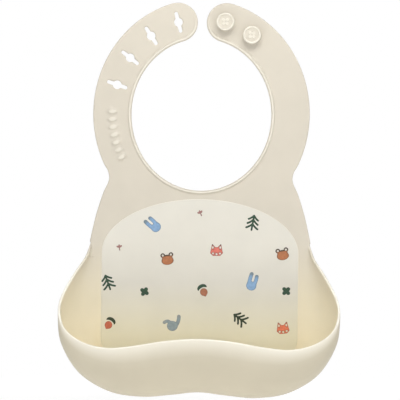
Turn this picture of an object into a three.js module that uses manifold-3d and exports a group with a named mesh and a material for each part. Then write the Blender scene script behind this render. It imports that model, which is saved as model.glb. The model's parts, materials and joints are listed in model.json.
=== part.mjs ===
// A baby's silicone bib with a catch pocket, modelled in millimetres.
// +Z is up as the bib is worn, +X is to the viewer's right and the front faces -Y.
// The origin lies on the flat back face at mid-chest.
//
// The sheet is one flexible moulding on the real bib. It is divided here at the lines
// where it bends in use, so that each flex line can be a hinge through mid-thickness.

import * as THREE from 'three';
import { mergeVertices } from 'three/addons/utils/BufferGeometryUtils.js';
import Module from 'manifold-3d';

const wasm = await Module();
wasm.setup();

// ---------------------------------------------------------------- driving dimensions

const SHEET = 2; // thickness of the moulded sheet; its back face is y = 0
const NECK = { z: 112.3, halfWidth: 54, halfHeight: 58.7 };
const COLLAR = { z: 113, halfWidth: 83.7, halfHeight: 88.7 };
const TIP = { x: 18.7, z: 183.5, radius: 15.3 };
const STRAP_CENTRE_Z = 113; // the strap seams and slots point at (0, this)
const BEAD = { width: 2.8, height: 1 }; // raised bead around the neck opening

const PANEL = { halfWidth: 80, bottom: -85, corner: 30, top: 13.3 }; // back wall of the pocket
const CHEST_HALF_WIDTH = 85.2; // where the chest meets the pocket's shoulders
const FOLD = { z: 16.5, halfGap: 2.9 }; // the chest folds across here
const SHOULDER_Z = 67; // the straps fold back across here
const STRAP_SEAMS = [170, 132]; // degrees about the strap centre, left side; the right is mirrored
const SEAM_HALF_GAP = 0.65; // lets neighbouring segments bend 50 degrees about mid-thickness
const CLEARANCE = 0.3;
const POCKET_GAP = 0.6; // between the back wall's edge and the pocket shell

const INLAY = { halfWidth: 76, archZ: 5, archHeight: 42, bottom: -80, corner: 20, thickness: 0.4 };
const INK = 0.15;

const SLOT = { length: 16.5, width: 2.8, eye: 3.3 }; // radial slot with a round eye in the middle
const SLOT_ANGLES = { strap: [161.5, 142.4], tip: [123.4, 104.7] };
const STUD_ANGLES = { upper: 75.9, lower: 57.8 };
const FASTENER_OFFSET = -0.4; // slots and studs sit just inside the strap's middle
const MARK = { first: 179, step: 5, count: 7, length: 6.4, width: 3.2, height: 0.6 };

const POCKET_WALL = 1.8; // wall thickness at the rim; it grows to the sheet's at the crease
const CREASE_FULLNESS = 0.9; // how far towards the belly a rib runs in the back wall's plane
const POCKET_GRID = { around: 48, across: 9 };

// The pocket shell is lofted over ribs, from the bottom centre round to the right shoulder.
// Each rib leaves the back wall's edge at a length along that edge, passes its belly half way
// and ends at the rim. The left side is the mirror image.
const RIBS = [
  { along: 0, belly: [0, -22, -99.8], rim: [0, -54, -58.5] },
  { along: 20, belly: [21, -22.5, -101.9], rim: [24, -54, -60.2] },
  { along: 40, belly: [43, -22.5, -103.4], rim: [48, -53, -64] },
  { along: 58, belly: [67, -22.5, -99.6], rim: [68, -50.5, -65.4] },
  { along: 75, belly: [88.8, -22.5, -86], rim: [86, -46.5, -61.8] },
  { along: 92, belly: [100.8, -20.5, -64.5], rim: [100, -40, -53] },
  { along: 108, belly: [101.4, -13.5, -45], rim: [106.3, -32, -40.5] },
  { along: 124, belly: [98.2, -9, -29.6], rim: [105, -23.5, -28] },
  { along: 140, belly: [91.6, -5, -12.4], rim: [97, -14.5, -12] },
  { along: 152, belly: [87, -3, -0.2], rim: [89, -8.5, 0.5] },
  { along: 163.6, belly: [84.8, -1.2, 11.6], rim: [85.7, -4.2, 11.6] },
];

const COLOURS = {
  silicone: 0xdcd4c4,
  pocket: 0xd6cdb6,
  inlay: 0xe8e4d8,
  blue: 0x82a3c6,
  greyBlue: 0x8c9ba0,
  green: 0x284832,
  deepGreen: 0x2d3c23,
  brown: 0xaf6e46,
  coral: 0xd77364,
  orange: 0xe17855,
  nut: 0xa5694b,
  redNut: 0xc8694b,
  pink: 0xaf827a,
};

// ---------------------------------------------------------------- solids and outlines

const radians = THREE.MathUtils.degToRad;

// A point at an angle and radius about the strap centre.
function strapPoint(degrees, radius) {
  const angle = radians(degrees);
  return new THREE.Vector2(radius * Math.cos(angle), STRAP_CENTRE_Z + radius * Math.sin(angle));
}

// The point half way across the strap at an angle, moved outwards by an offset.
function strapMiddle(degrees, offset = 0) {
  const angle = radians(degrees);
  const halfWidth = (NECK.halfWidth + COLLAR.halfWidth) / 2;
  const halfHeight = (NECK.halfHeight + COLLAR.halfHeight) / 2;
  const radius = 1 / Math.hypot(Math.cos(angle) / halfWidth, Math.sin(angle) / halfHeight);
  return strapPoint(degrees, radius + offset);
}

// A closed geometry as a solid that can be cut and joined.
function solid(geometry) {
  const bare = geometry.clone();
  bare.deleteAttribute('normal');
  bare.deleteAttribute('uv');
  const merged = mergeVertices(bare, 1e-4);
  return new wasm.Manifold(new wasm.Mesh({
    numProp: 3,
    vertProperties: merged.attributes.position.array,
    triVerts: Uint32Array.from(merged.index.array),
  }));
}

function geometryOf(body) {
  const mesh = body.getMesh();
  const geometry = new THREE.BufferGeometry();
  geometry.setAttribute('position', new THREE.BufferAttribute(mesh.vertProperties, 3));
  geometry.setIndex(new THREE.BufferAttribute(mesh.triVerts, 1));
  geometry.computeVertexNormals();
  return geometry;
}

// A flat plate whose outline is drawn in X and Z, from y = back towards the front.
function plate(outline, back, thickness) {
  const geometry = new THREE.ExtrudeGeometry(outline, { depth: thickness, bevelEnabled: false });
  geometry.rotateX(Math.PI / 2);
  geometry.translate(0, back, 0);
  return solid(geometry);
}

function vectors(points) {
  return points.map(([x, z]) => new THREE.Vector2(x, z));
}

function polygon(points) {
  return new THREE.Shape(vectors(points));
}

// A closed outline of curves that follow one another, each with its own number of steps.
function traced(pieces) {
  return new THREE.Shape(pieces.flatMap(([curve, steps]) => curve.getPoints(steps)));
}

// An arc of an upright ellipse between two angles in degrees.
function arc(x, z, halfWidth, halfHeight, from, to) {
  return new THREE.EllipseCurve(x, z, halfWidth, halfHeight, radians(from), radians(to), from > to);
}

function ellipse(x, z, halfWidth, halfHeight, tilt = 0, steps = 14) {
  const whole = [0, 2 * Math.PI, false, radians(tilt)];
  return traced([[new THREE.EllipseCurve(x, z, halfWidth, halfHeight, ...whole), steps]]);
}

// The points beside a curve at a signed distance: positive lies to the left of its direction.
function beside(curve, distance, steps) {
  return Array.from({ length: steps + 1 }, (_, index) => {
    const tangent = curve.getTangent(index / steps);
    const across = new THREE.Vector2(-tangent.y, tangent.x);
    return curve.getPoint(index / steps).addScaledVector(across, distance);
  });
}

// The points of a half circle that rounds off the end of a curve.
function roundEnd(curve, at, width, steps) {
  const heading = THREE.MathUtils.radToDeg(curve.getTangent(at).angle()) + (at ? 0 : 180);
  const end = curve.getPoint(at);
  return arc(end.x, end.y, width / 2, width / 2, heading - 90, heading + 90).getPoints(steps).slice(1, -1);
}

// A line of even width with round ends along a curve.
function stroke(curve, width, steps = 4, endSteps = 6) {
  return new THREE.Shape([
    ...beside(curve, -width / 2, steps),
    ...roundEnd(curve, 1, width, endSteps),
    ...beside(curve, width / 2, steps).reverse(),
    ...roundEnd(curve, 0, width, endSteps),
  ]);
}

function straight(x1, z1, x2, z2) {
  return new THREE.LineCurve(...vectors([[x1, z1], [x2, z2]]));
}

function bowed(x1, z1, x2, z2, x3, z3) {
  return new THREE.QuadraticBezierCurve(...vectors([[x1, z1], [x2, z2], [x3, z3]]));
}

function joined(bodies) {
  return bodies.reduce((whole, body) => whole.add(body));
}

// ---------------------------------------------------------------- collar sheet

// The chest and both straps in one outline, from the chest fold up.
function collarOutline() {
  const bottom = FOLD.z - FOLD.halfGap;
  const flank = vectors([
    [CHEST_HALF_WIDTH, bottom],
    [CHEST_HALF_WIDTH - 0.8, bottom + 4],
    [80.6, 34.5],
    [75.4, 51],
    [71.7, 59],
    [70.8, 63.5],
    [71.8, 68.5],
  ]);
  const mirroredFlank = flank.map((point) => new THREE.Vector2(-point.x, point.y)).reverse();
  const { halfWidth, halfHeight } = COLLAR;
  const tip = [TIP.z, TIP.radius, TIP.radius];
  return traced([
    [new THREE.SplineCurve(flank), 16],
    [arc(0, COLLAR.z, halfWidth, halfHeight, -26.5, 74), 20],
    [arc(TIP.x, ...tip, 73.5, 256), 12],
    [arc(0, NECK.z, NECK.halfWidth, NECK.halfHeight, 74, -254), 44],
    [arc(-TIP.x, ...tip, -76, 106.5), 12],
    [arc(0, COLLAR.z, halfWidth, halfHeight, 106, 206.5), 20],
    [new THREE.SplineCurve(mirroredFlank), 16],
  ]);
}

function neckBead(outline) {
  const [wide, narrow] = [BEAD.width, -1].map((extra) => (
    ellipse(0, NECK.z, NECK.halfWidth + extra, NECK.halfHeight + extra, 0, 48)
  ));
  const ring = plate(wide, -SHEET / 2, SHEET / 2 + BEAD.height).subtract(plate(narrow, SHEET, 5 * SHEET));
  return ring.intersect(plate(outline, 0, 2 * SHEET));
}

const INSIDE = 20; // radii that lie inside and outside every strap
const OUTSIDE = 140;

// The part of a plate inside a region drawn in X and Z.
function within(whole, points) {
  const reach = 5 * SHEET;
  return whole.intersect(plate(polygon(points), reach, 2 * reach));
}

// The part of a plate between two heights.
function band(whole, bottom, top) {
  return within(whole, [[-OUTSIDE, bottom], [OUTSIDE, bottom], [OUTSIDE, top], [-OUTSIDE, top]]);
}

// A point beside a radial seam: across > 0 is on the side of the larger angle.
function besideSeam(degrees, radius, across) {
  const point = strapPoint(degrees, radius);
  const angle = radians(degrees);
  return [point.x - across * Math.sin(angle), point.y + across * Math.cos(angle)];
}

function yoke(collar) {
  return band(collar, FOLD.z + FOLD.halfGap, SHOULDER_Z - SEAM_HALF_GAP);
}

function foldWeb(collar) {
  const half = FOLD.halfGap - CLEARANCE;
  return band(collar, FOLD.z - half, FOLD.z + half);
}

function mirrored(points) {
  return points.map(([x, z]) => [-x, z]).reverse();
}

// The three segments of the left strap, from the shoulder to the tip.
function strapRegions() {
  const [shoulderSeam, tipSeam] = STRAP_SEAMS;
  const bottom = SHOULDER_Z + SEAM_HALF_GAP;
  return {
    shoulder: [
      [-OUTSIDE, bottom],
      [-INSIDE, bottom],
      besideSeam(shoulderSeam, INSIDE, SEAM_HALF_GAP),
      besideSeam(shoulderSeam, OUTSIDE, SEAM_HALF_GAP),
    ],
    strap: [
      besideSeam(shoulderSeam, OUTSIDE, -SEAM_HALF_GAP),
      besideSeam(shoulderSeam, INSIDE, -SEAM_HALF_GAP),
      besideSeam(tipSeam, INSIDE, SEAM_HALF_GAP),
      besideSeam(tipSeam, OUTSIDE, SEAM_HALF_GAP),
    ],
    tip: [
      besideSeam(tipSeam, OUTSIDE, -SEAM_HALF_GAP),
      besideSeam(tipSeam, INSIDE, -SEAM_HALF_GAP),
      [0, STRAP_CENTRE_Z + INSIDE],
      [0, STRAP_CENTRE_Z + OUTSIDE],
    ],
  };
}

function withSlots(segment, angles) {
  const reach = (SLOT.length - SLOT.width) / 2;
  return angles.reduce((strap, degrees) => {
    const centre = strapMiddle(degrees, FASTENER_OFFSET);
    const slitLine = new THREE.LineCurve(
      strapMiddle(degrees, FASTENER_OFFSET - reach),
      strapMiddle(degrees, FASTENER_OFFSET + reach),
    );
    const slit = plate(stroke(slitLine, SLOT.width, 1), SHEET, 3 * SHEET);
    const eye = plate(ellipse(centre.x, centre.y, SLOT.eye, SLOT.eye), SHEET, 3 * SHEET);
    return strap.subtract(slit).subtract(eye);
  }, segment);
}

// A row of small raised leaves on the left shoulder, each lying across the strap.
function withMarks(segment) {
  const marks = Array.from({ length: MARK.count }, (_, index) => {
    const degrees = MARK.first + index * MARK.step;
    const centre = strapMiddle(degrees);
    const leaf = ellipse(centre.x, centre.y, MARK.length / 2, MARK.width / 2, degrees);
    return plate(leaf, -SHEET / 2, SHEET / 2 + MARK.height);
  });
  return joined([segment, ...marks]);
}

// ---------------------------------------------------------------- back wall and pocket

function panelOutline() {
  const { halfWidth, bottom, corner, top } = PANEL;
  const cornerX = halfWidth - corner;
  const cornerZ = bottom + corner;
  return traced([
    [arc(cornerX, cornerZ, corner, corner, -90, 0), 8],
    [straight(halfWidth, top, -halfWidth, top), 1],
    [arc(-cornerX, cornerZ, corner, corner, 180, 270), 8],
  ]);
}

// The crease point on the right half at a length along the back wall's edge.
function creasePoint(along) {
  const { halfWidth, bottom, corner } = PANEL;
  const flat = halfWidth - corner;
  const bend = (Math.PI / 2) * corner;
  const swing = THREE.MathUtils.clamp((along - flat) / corner, 0, Math.PI / 2);
  const outward = new THREE.Vector3(Math.sin(swing), 0, -Math.cos(swing));
  const x = Math.min(along, flat) + corner * Math.sin(swing);
  const z = bottom + corner * (1 - Math.cos(swing)) + Math.max(along - flat - bend, 0);
  return new THREE.Vector3(x, 0, z).addScaledVector(outward, POCKET_GAP);
}

// Smooth curves through the ribs, with the left half mirrored, from the left shoulder (0) round
// to the right shoulder (1).
function ribCurves() {
  const mirrorX = new THREE.Vector3(-1, 1, 1);
  const both = (right) => [
    ...right.slice(1).reverse().map((point) => point.clone().multiply(mirrorX)),
    ...right,
  ];
  const curve = (right) => new THREE.CatmullRomCurve3(both(right), false, 'catmullrom');
  return {
    along: curve(RIBS.map((rib) => new THREE.Vector3(rib.along, 0, 0))),
    belly: curve(RIBS.map((rib) => new THREE.Vector3(...rib.belly))),
    rim: curve(RIBS.map((rib) => new THREE.Vector3(...rib.rim))),
  };
}

// The cubic that leaves the back wall in its own plane and passes the belly half way.
function ribSection(curves, u) {
  const along = curves.along.getPoint(u).x;
  const crease = creasePoint(Math.abs(along));
  crease.x *= along < 0 ? -1 : 1;
  const belly = curves.belly.getPoint(u);
  const rim = curves.rim.getPoint(u);
  const leaving = new THREE.Vector3(belly.x - crease.x, 0, belly.z - crease.z);
  const first = crease.clone().addScaledVector(leaving, CREASE_FULLNESS);
  const second = belly.clone().multiplyScalar(8)
    .sub(crease).addScaledVector(first, -3).sub(rim).divideScalar(3);
  return new THREE.CubicBezierCurve3(crease, first, second, rim);
}

function pocketShell() {
  const { around, across } = POCKET_GRID;
  const curves = ribCurves();
  const surface = (u, v) => ribSection(curves, u).getPoint(v);
  const outward = (u, v) => {
    const step = 1e-3;
    const low = Math.max(u - step, 0);
    const high = Math.min(u + step, 1);
    const alongRim = surface(high, v).sub(surface(low, v));
    const alongRib = surface(u, Math.min(v + step, 1)).sub(surface(u, Math.max(v - step, 0)));
    return alongRim.cross(alongRib).normalize();
  };
  const positions = [];
  [0, 1].forEach((inner) => {
    for (let i = 0; i <= around; i += 1) {
      for (let j = 0; j <= across; j += 1) {
        const v = j / across;
        const depth = inner * THREE.MathUtils.lerp(SHEET, POCKET_WALL, v);
        const point = surface(i / around, v).addScaledVector(outward(i / around, v), -depth);
        positions.push(point.x, point.y, point.z);
      }
    }
  });
  const vertex = (inner, i, j) => (inner * (around + 1) + i) * (across + 1) + j;
  const faces = [];
  const quad = (a, b, c, d) => faces.push(a, b, c, a, c, d);
  for (let i = 0; i < around; i += 1) {
    for (let j = 0; j < across; j += 1) {
      quad(vertex(0, i, j), vertex(0, i + 1, j), vertex(0, i + 1, j + 1), vertex(0, i, j + 1));
      quad(vertex(1, i, j), vertex(1, i, j + 1), vertex(1, i + 1, j + 1), vertex(1, i + 1, j));
    }
    quad(vertex(0, i, 0), vertex(1, i, 0), vertex(1, i + 1, 0), vertex(0, i + 1, 0));
    quad(vertex(0, i + 1, across), vertex(1, i + 1, across), vertex(1, i, across), vertex(0, i, across));
  }
  for (let j = 0; j < across; j += 1) {
    quad(vertex(0, 0, j + 1), vertex(1, 0, j + 1), vertex(1, 0, j), vertex(0, 0, j));
    quad(vertex(0, around, j), vertex(1, around, j), vertex(1, around, j + 1), vertex(0, around, j + 1));
  }
  const geometry = new THREE.BufferGeometry();
  geometry.setAttribute('position', new THREE.Float32BufferAttribute(positions, 3));
  geometry.setIndex(faces);
  geometry.computeVertexNormals();
  return geometry;
}

// ---------------------------------------------------------------- printed inlay

function inlayOutline() {
  const { halfWidth, archZ, archHeight, bottom, corner } = INLAY;
  const cornerX = halfWidth - corner;
  const cornerZ = bottom + corner;
  return traced([
    [arc(cornerX, cornerZ, corner, corner, -90, 0), 6],
    [arc(0, archZ, halfWidth, archHeight, 0, 180), 32],
    [arc(-cornerX, cornerZ, corner, corner, 180, 270), 6],
  ]);
}

function inlayPart(bottom, top) {
  return band(plate(inlayOutline(), -SHEET, INLAY.thickness), bottom, top);
}

// ---------------------------------------------------------------- printed motifs

// A thin layer of ink, drawn about its own centre: outlines are joined, then holes are cut.
function print(outlines, holes = []) {
  const layer = joined(outlines.map((outline) => plate(outline, 0, INK)));
  return holes.reduce((rest, hole) => rest.subtract(plate(hole, INK, 3 * INK)), layer);
}

function rabbit() {
  return print([
    ellipse(0, -3.4, 3.9, 3.5),
    stroke(bowed(-2, -2.4, -2.4, 2, -1.9, 5.6), 3),
    stroke(bowed(2, -2.4, 2.7, 1.6, 2.4, 4.6), 2.9),
  ]);
}

function rabbitWithBentEar() {
  return print([
    ellipse(0, -2.4, 4.1, 3.9),
    stroke(bowed(2.4, -2.4, 4.8, 1.4, 4.2, 5.4), 2.8),
    stroke(bowed(-1.6, -0.6, -3.4, 2.2, -6.4, -0.4), 2.5),
  ]);
}

// A pair of drooping branches: two bowed arms that meet in a point at the stem.
function branches(top, reach, low) {
  const width = 1.4;
  const arm = bowed(0, top, reach * 0.45, top - (top - low) * 0.66, reach, low);
  const right = [
    new THREE.Vector2(0, top - width * 0.62),
    ...beside(arm, -width / 2, 3).slice(1),
    ...roundEnd(arm, 1, width, 4),
    ...beside(arm, width / 2, 3).reverse().slice(0, -1),
    new THREE.Vector2(0, top + width * 0.62),
  ];
  const left = right.slice(1, -1).reverse().map((point) => new THREE.Vector2(-point.x, point.y));
  return new THREE.Shape([...right, ...left]);
}

function tree() {
  return print([
    stroke(straight(0, -5.9, 0, 4.6), 1.3, 1, 4),
    branches(5.3, 3.7, 2.1),
    branches(2.2, 4, -1.2),
    branches(-1.2, 4.4, -4.6),
  ]);
}

function bear() {
  const ears = [-3.2, 3.2];
  return print(
    [ellipse(0, -0.9, 4.7, 3.9), ...ears.map((x) => ellipse(x, 2.9, 1.75, 1.75))],
    ears.map((x) => ellipse(x, 3, 0.75, 0.75, 0, 8)),
  );
}

function fox() {
  const half = [[1.1, 2.2], [3.4, 4.7], [4.2, 0.4], [4.9, -2.2], [2.8, -4.3]];
  const head = polygon([...half.slice().reverse(), ...half.map(([x, z]) => [-x, z])]);
  const ears = [-2.8, 2.8].map((x) => ellipse(x, 2.4, 0.5, 0.9, 0, 8));
  const spots = [-2.7, 0, 2.7].map((x) => ellipse(x, x ? -2.5 : -3, 0.75, 0.65, 0, 8));
  return print([head], [...ears, ...spots]);
}

function clover() {
  const lobes = [45, 135, 225, 315].map((degrees) => {
    const angle = radians(degrees);
    return ellipse(2 * Math.cos(angle), 2 * Math.sin(angle), 1.7, 1.5, degrees, 10);
  });
  return print([...lobes, ellipse(0, 0, 1, 1, 0, 8)]);
}

function acornNut() {
  return print([ellipse(0, -1.6, 2.9, 3), ellipse(0, -4.2, 0.9, 1)]);
}

function acornCap() {
  return print([ellipse(0, 2, 3.8, 2.8)], [ellipse(0, -0.6, 4, 2.8)]);
}

function blossom() {
  const petals = [-50, 0, 50].map((lean) => {
    const angle = radians(90 + lean);
    return ellipse(1.5 * Math.cos(angle), 1.5 * Math.sin(angle) - 0.4, 1.1, 0.7, 90 + lean, 10);
  });
  return print([...petals, stroke(straight(0, -2.2, 0, 0.2), 0.8, 1, 4)]);
}

// Every motif, with its middle on the inlay and its counter-clockwise tilt as seen from the front.
const MOTIFS = [
  { name: 'print_rabbit_upper', draw: rabbit, x: -36.7, z: 27.1, tilt: 51, colour: 'blue' },
  { name: 'print_blossom_upper', draw: blossom, x: 0, z: 36.4, tilt: 24, colour: 'pink' },
  { name: 'print_tree_upper', draw: tree, x: 40.6, z: 29.4, tilt: -10, colour: 'green' },
  { name: 'print_blossom_lower', draw: blossom, x: -62.3, z: 9.3, tilt: 8, colour: 'pink' },
  { name: 'print_bear_left', draw: bear, x: -25.1, z: 0.8, tilt: 8, colour: 'brown' },
  { name: 'print_fox_upper', draw: fox, x: 12.8, z: 7.7, tilt: 0, colour: 'coral' },
  { name: 'print_bear_right', draw: bear, x: 63.8, z: 5.4, tilt: 11, colour: 'brown' },
  { name: 'print_tree_left', draw: tree, x: -71, z: -17.8, tilt: 20, colour: 'green' },
  { name: 'print_clover_left', draw: clover, x: -42.5, z: -24.8, tilt: 12, colour: 'green' },
  { name: 'print_acorn_nut_middle', draw: acornNut, x: 2.7, z: -23.2, tilt: 24, colour: 'nut' },
  { name: 'print_acorn_cap_middle', draw: acornCap, x: 2.7, z: -23.2, tilt: 24, colour: 'green' },
  { name: 'print_rabbit_middle', draw: rabbit, x: 40.6, z: -16.2, tilt: -14, colour: 'blue' },
  { name: 'print_clover_right', draw: clover, x: 66.9, z: -23.2, tilt: 0, colour: 'green' },
  { name: 'print_acorn_nut_left', draw: acornNut, x: -69.2, z: -49.5, tilt: -32, colour: 'redNut' },
  { name: 'print_acorn_cap_left', draw: acornCap, x: -69.2, z: -49.5, tilt: -32, colour: 'deepGreen' },
  { name: 'print_rabbit_lower', draw: rabbitWithBentEar, x: -20.5, z: -48.7, tilt: -6, colour: 'greyBlue' },
  { name: 'print_tree_lower', draw: tree, x: 31.3, z: -44.9, tilt: 54, colour: 'deepGreen' },
  { name: 'print_fox_lower', draw: fox, x: 64.6, z: -51.8, tilt: 6, colour: 'orange' },
];

// ---------------------------------------------------------------- fastening studs

// A mushroom stud on the front face, with a raised ring and a four-petal flower in its recess.
function stud() {
  const profile = [
    [0, 0], [4.7, 0], [4.1, 0.8], [4, 2.4], [6.5, 2.8], [7, 3.5], [7, 4.5],
    [6.6, 5.2], [6.1, 5.4], [5.5, 5.2], [5.2, 4.7], [0, 4.7],
  ].map(([radius, height]) => new THREE.Vector2(radius, height));
  const turned = solid(new THREE.LatheGeometry(profile, 24));
  const petals = [0, 90, 180, 270].map((degrees) => {
    const angle = radians(degrees + 45);
    const petal = ellipse(1.9 * Math.cos(angle), 1.9 * Math.sin(angle), 1.5, 0.95, degrees + 45, 10);
    return plate(petal, 5.05, 0.8);
  });
  const body = joined([turned, ...petals]);
  const geometry = geometryOf(body);
  geometry.rotateX(Math.PI);
  geometry.translate(0, -SHEET, 0);
  return geometry;
}

// ---------------------------------------------------------------- assembly

const bib = new THREE.Group();

function addPart(name, shape, colour, roughness = 0.5) {
  const material = new THREE.MeshStandardMaterial({ color: COLOURS[colour], roughness, metalness: 0 });
  const geometry = shape.isBufferGeometry ? shape : geometryOf(shape);
  const mesh = new THREE.Mesh(geometry, material);
  mesh.name = name;
  bib.add(mesh);
  return mesh;
}

const outline = collarOutline();
const collar = plate(outline, 0, SHEET).add(neckBead(outline));

addPart('lower_panel', plate(panelOutline(), 0, SHEET), 'silicone');
addPart('catch_pocket', pocketShell(), 'pocket');
addPart('fold_web', foldWeb(collar), 'silicone');
addPart('chest_yoke', yoke(collar), 'silicone');

Object.entries(strapRegions()).forEach(([name, region]) => {
  const left = withSlots(within(collar, region), SLOT_ANGLES[name] ?? []);
  const right = within(collar, mirrored(region));
  addPart(`left_${name}`, name === 'shoulder' ? withMarks(left) : left, 'silicone');
  addPart(`right_${name}`, right, 'silicone');
});

Object.entries(STUD_ANGLES).forEach(([name, degrees]) => {
  const centre = strapMiddle(degrees, FASTENER_OFFSET);
  addPart(`${name}_stud`, stud(), 'silicone').position.set(centre.x, 0, centre.y);
});

addPart('lower_inlay', inlayPart(-OUTSIDE, FOLD.z - FOLD.halfGap), 'inlay', 0.45);
addPart('upper_inlay', inlayPart(FOLD.z + FOLD.halfGap, OUTSIDE), 'inlay', 0.45);

MOTIFS.forEach(({ name, draw, x, z, tilt, colour }) => {
  const mesh = addPart(name, draw(), colour, 0.6);
  mesh.position.set(x, -SHEET - INLAY.thickness, z);
  mesh.rotation.y = -radians(tilt);
});

export default bib;
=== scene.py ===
"""Silicone bib with a catch pocket: the finished surfaces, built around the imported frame.

Outlines are worked out in millimetres in the plane of the sheet, as (x, z), and turned into
metres when a mesh is made. The sheet is one planar mesh of loops and triangles, given a front
and a back height at every point and then cut into the pieces that bend across one joint each.
"""
import json
import math

import bpy
import numpy as np
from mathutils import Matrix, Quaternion, Vector
from mathutils.geometry import delaunay_2d_cdt


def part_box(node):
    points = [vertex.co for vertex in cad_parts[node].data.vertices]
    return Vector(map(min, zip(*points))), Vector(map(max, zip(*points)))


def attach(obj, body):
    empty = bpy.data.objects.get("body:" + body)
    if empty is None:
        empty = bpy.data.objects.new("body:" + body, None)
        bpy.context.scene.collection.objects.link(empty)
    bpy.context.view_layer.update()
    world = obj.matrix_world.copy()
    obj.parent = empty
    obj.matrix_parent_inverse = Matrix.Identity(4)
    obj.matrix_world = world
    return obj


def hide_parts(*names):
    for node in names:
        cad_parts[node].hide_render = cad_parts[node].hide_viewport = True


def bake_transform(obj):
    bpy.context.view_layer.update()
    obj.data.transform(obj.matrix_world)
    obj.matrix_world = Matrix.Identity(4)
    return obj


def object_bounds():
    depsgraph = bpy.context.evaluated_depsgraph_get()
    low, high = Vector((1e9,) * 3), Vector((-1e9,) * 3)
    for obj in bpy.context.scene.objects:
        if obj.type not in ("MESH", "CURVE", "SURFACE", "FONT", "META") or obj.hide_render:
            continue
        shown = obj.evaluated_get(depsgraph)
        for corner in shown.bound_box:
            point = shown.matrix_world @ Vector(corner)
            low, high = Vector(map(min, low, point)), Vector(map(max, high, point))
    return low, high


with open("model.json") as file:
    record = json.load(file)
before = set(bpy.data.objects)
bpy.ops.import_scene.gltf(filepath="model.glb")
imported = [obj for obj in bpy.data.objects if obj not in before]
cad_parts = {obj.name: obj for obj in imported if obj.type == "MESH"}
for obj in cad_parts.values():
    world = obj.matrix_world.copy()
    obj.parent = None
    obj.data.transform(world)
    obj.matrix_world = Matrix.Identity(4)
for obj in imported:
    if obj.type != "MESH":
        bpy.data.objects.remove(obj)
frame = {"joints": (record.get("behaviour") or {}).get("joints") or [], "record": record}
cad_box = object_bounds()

MM = 0.001
JOINTS = {joint["name"]: joint for joint in frame["joints"]}
COLOURS = {entry["slot"]: entry["base_color"] for entry in frame["record"]["materials"]}


def box_mm(node):
    """The lowest and highest corner of a CAD node, in millimetres."""
    low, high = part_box(node)
    return np.array(low) / MM, np.array(high) / MM


# ---------------------------------------------------------------- driving dimensions (mm)

PANEL_LOW, PANEL_HIGH = box_mm("lower_panel")
SHEET = PANEL_HIGH[1] - PANEL_LOW[1]
HALF = SHEET / 2
PANEL_CORNER = 30.0
CREASE_OUTSIDE = 0.6  # the pocket's crease runs this far outside the back wall's edge

NECK = {"z": 112.3, "width": 54.0, "height": 58.7}  # half width and half height
COLLAR = {"z": 113.0, "width": 83.7, "height": 88.7}
TIP = {"x": 18.7, "z": 183.5, "radius": 15.3}
STRAP_CENTRE = 113.0
SHOULDER_TOP = 13.5  # the pocket's rim grows out of the sheet's edge here
CHEST_HALF_WIDTH = 85.2
FLANK = [(80.6, 34.5), (75.4, 51.0), (71.7, 59.0), (70.8, 63.5), (71.8, 68.5)]

FLANK_START = (0.7, 4.1)  # the flank's second point lies this far in and up from the first
COLLAR_ARC = (-26.5, 74)  # degrees, from the shoulder's hollow up to the strap's tip
TIP_ARC = (73.5, 256)
NECK_ARC = (74, -90)

EDGE_STEP = 1.2  # spacing of the points along the sheet's edge
GRID = 2.6  # spacing of the points inside the sheet
SLIVER = 1e-4  # twice the area of a triangle too thin to keep
ROUND_STEPS = 4  # loops that round off an edge
BEAD_WIDTH, BEAD_HEIGHT = 2.8, 1.0
BEAD_INSETS = [1.4, 1.8, 2.2, 2.55, 2.8, 3.1]  # loops across the neck bead, past the rounding
BEAD_FADE = (12.0, 36.0)  # edge steps from the strap's tip to where the bead starts and is full

SLOT = {"length": 16.5, "width": 2.8, "eye": 3.3}
SLOT_ANGLES = [161.5, 142.4, 123.4, 104.7]
SLOT_BLEND = 12.0  # how tightly the corners between the slit and its eye are filled
SLOT_OFFSET = -0.4  # the slots sit just inside the strap's middle
LEAF_ANGLES = [179 + 5 * index for index in range(7)]
LEAF = {"length": 3.4, "width": 1.8}
LEAF_POINT = 0.35  # how sharply a leaf's two ends are drawn out
# how strongly a leaf's raised top gets a painted highlight, per mm of its rise
LEAF_HIGHLIGHT = 0.5
LEAF_RINGS = [(1.0, 0.0), (0.93, 0.34), (0.8, 0.54), (0.62, 0.6), (0.3, 0.6)]  # scale and height

YOKE_CUT = 44.0  # the chest piece and the shoulder pieces part here, under the neck
STRAP_CUTS = [191.0, 151.1]  # degrees on the left strap, in the middle of its stiff stretches
FOLD_ZONE = (2.0, 31.0)  # the chest bends between these heights
SHOULDER_HINGE = JOINTS["left_shoulder_bend"]["pos_m"][2] / MM
NECK_LOWEST = NECK["z"] - NECK["height"]
BEND_REACH = {  # half the length of each bend; a shoulder bends only above the neck's lowest point
    "shoulder": SHOULDER_HINGE - NECK_LOWEST, "strap": 16.0, "tip": 11.0,
}

# Ribs of the pocket from the bottom centre round to the right shoulder: length along the back
# wall's edge, the point the rib passes half way, and its end at the rim.
RIBS = [
    (0, (0, -22, -99.8), (0, -54, -57.6)),
    (20, (21, -22.5, -101.9), (24, -54, -59.3)),
    (40, (43, -22.5, -103.4), (48, -53, -63.3)),
    (58, (67, -22.5, -99.6), (68, -50.5, -65.2)),
    (75, (88.8, -22.5, -86), (86, -46.5, -61.6)),
    (92, (100.8, -20.5, -64.5), (100, -40, -52.8)),
    (108, (101.4, -13.5, -45), (106.3, -32, -40.5)),
    (124, (98.2, -9, -29.6), (105, -23.5, -28)),
    (140, (91.6, -5, -12.4), (97, -14.5, -12)),
    (152, (87, -2.6, -0.2), (89, -8.2, 0.5)),
    (160, (85.4, -0.8, 8.2), (86, -3.4, 8.2)),
    (165.1, (84.3, 0, SHOULDER_TOP), (84.4, -0.05, SHOULDER_TOP)),
]
RIM_THICKNESS = 1.8
CREASE_FULLNESS = 0.9
POCKET_AROUND, POCKET_ACROSS = 240, 28
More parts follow.
